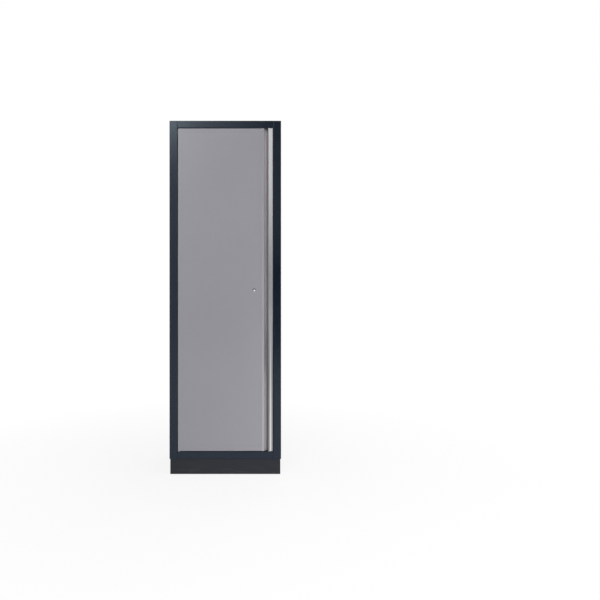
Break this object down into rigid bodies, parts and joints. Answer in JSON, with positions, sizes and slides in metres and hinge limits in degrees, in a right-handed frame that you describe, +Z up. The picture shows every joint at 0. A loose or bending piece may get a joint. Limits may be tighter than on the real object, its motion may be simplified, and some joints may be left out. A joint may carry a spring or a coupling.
{
  "type": "storage locker",
  "caption": "Tall steel side locker on a plinth, with a full-height hinged door, extruded grip profile, cylinder lock with locking rods, and adjustable shelves.",
  "frame": {"origin": "on the ground under the middle of the cabinet", "axes": "+Z up, +X to the right of someone facing the door, the door faces -Y"},
  "size_m": [0.6, 0.46, 1.9],
  "materials": {
    "carcass_paint": "semi-gloss charcoal powder coat",
    "plinth_paint": "charcoal powder coat",
    "inside_paint": "semi-gloss charcoal powder coat",
    "door_paint": "fine metallic silver-grey powder coat",
    "grip_aluminium": "satin anodised",
    "zinc_steel": "bright zinc plate",
    "hinge_steel": "dark phosphated steel",
    "lock_chrome": "polished chrome plate",
    "bush_brass": "turned brass",
    "nylon": "natural nylon",
    "case_plastic": "black moulded plastic",
    "buffer_rubber": "black rubber"
  },
  "bodies": {
    "cabinet": {"back_panel": "inside_paint", "bottom_rail": "carcass_paint", "door_buffers": "buffer_rubber", "door_glides": "nylon", "floor_panel": "inside_paint", "header_rail": "carcass_paint", "left_side_panel": "carcass_paint", "lower_pivot_plate": "zinc_steel", "pivot_pins": "zinc_steel", "pivot_washer": "nylon", "plinth_front_rail": "plinth_paint", "plinth_left_rail": "plinth_paint", "plinth_rear_rail": "plinth_paint", "plinth_right_rail": "plinth_paint", "right_side_panel": "carcass_paint", "shelf_bottom": "inside_paint", "shelf_bottom_clips": "zinc_steel", "shelf_lower": "inside_paint", "shelf_lower_clips": "zinc_steel", "shelf_top": "inside_paint", "shelf_top_clips": "zinc_steel", "shelf_upper": "inside_paint", "shelf_upper_clips": "zinc_steel", "top_panel": "carcass_paint", "upper_pivot_plate": "zinc_steel", "upright_front_left": "inside_paint", "upright_front_right": "inside_paint", "upright_rear_left": "inside_paint", "upright_rear_right": "inside_paint"},
    "door": {"door_skin": "door_paint", "door_inner_panel": "door_paint", "handle_profile": "grip_aluminium", "lock_case": "case_plastic", "lock_case_screws": "zinc_steel", "lock_barrel": "lock_chrome", "upper_hinge_plate": "hinge_steel", "lower_hinge_plate": "hinge_steel", "pivot_bushes": "bush_brass", "hinge_plate_screws": "zinc_steel", "upper_rod_guides": "nylon", "lower_rod_guides": "nylon"},
    "lock": {"lock_plug": "lock_chrome", "lock_pinion": "zinc_steel"},
    "upper_rod": {"upper_rod": "zinc_steel"},
    "lower_rod": {"lower_rod": "zinc_steel"}
  },
  "joints": [
    {"name": "door_swing", "type": "hinge", "parent": "cabinet", "child": "door", "pos_m": [-0.249, -0.2225, 0.991], "axis": [0, 0, -1], "range_deg": [0, 105]},
    {"name": "upper_rod_slide", "type": "slide", "parent": "door", "child": "upper_rod", "axis": [0, 0, 1], "range_m": [0, 0.0141]},
    {"name": "lower_rod_slide", "type": "slide", "parent": "door", "child": "lower_rod", "axis": [0, 0, -1], "range_m": [0, 0.0141]},
    {"name": "lock_turn", "type": "hinge", "parent": "door", "child": "lock", "pos_m": [0.154, -0.2285, 0.991], "axis": [0, 1, 0], "range_deg": [0, 90]}
  ],
  "couplings": [
    {"joint": "lower_rod_slide", "follows": "upper_rod_slide", "ratio": 1},
    {"joint": "lock_turn", "follows": "upper_rod_slide", "rad_per_m": 111.11}
  ]
}
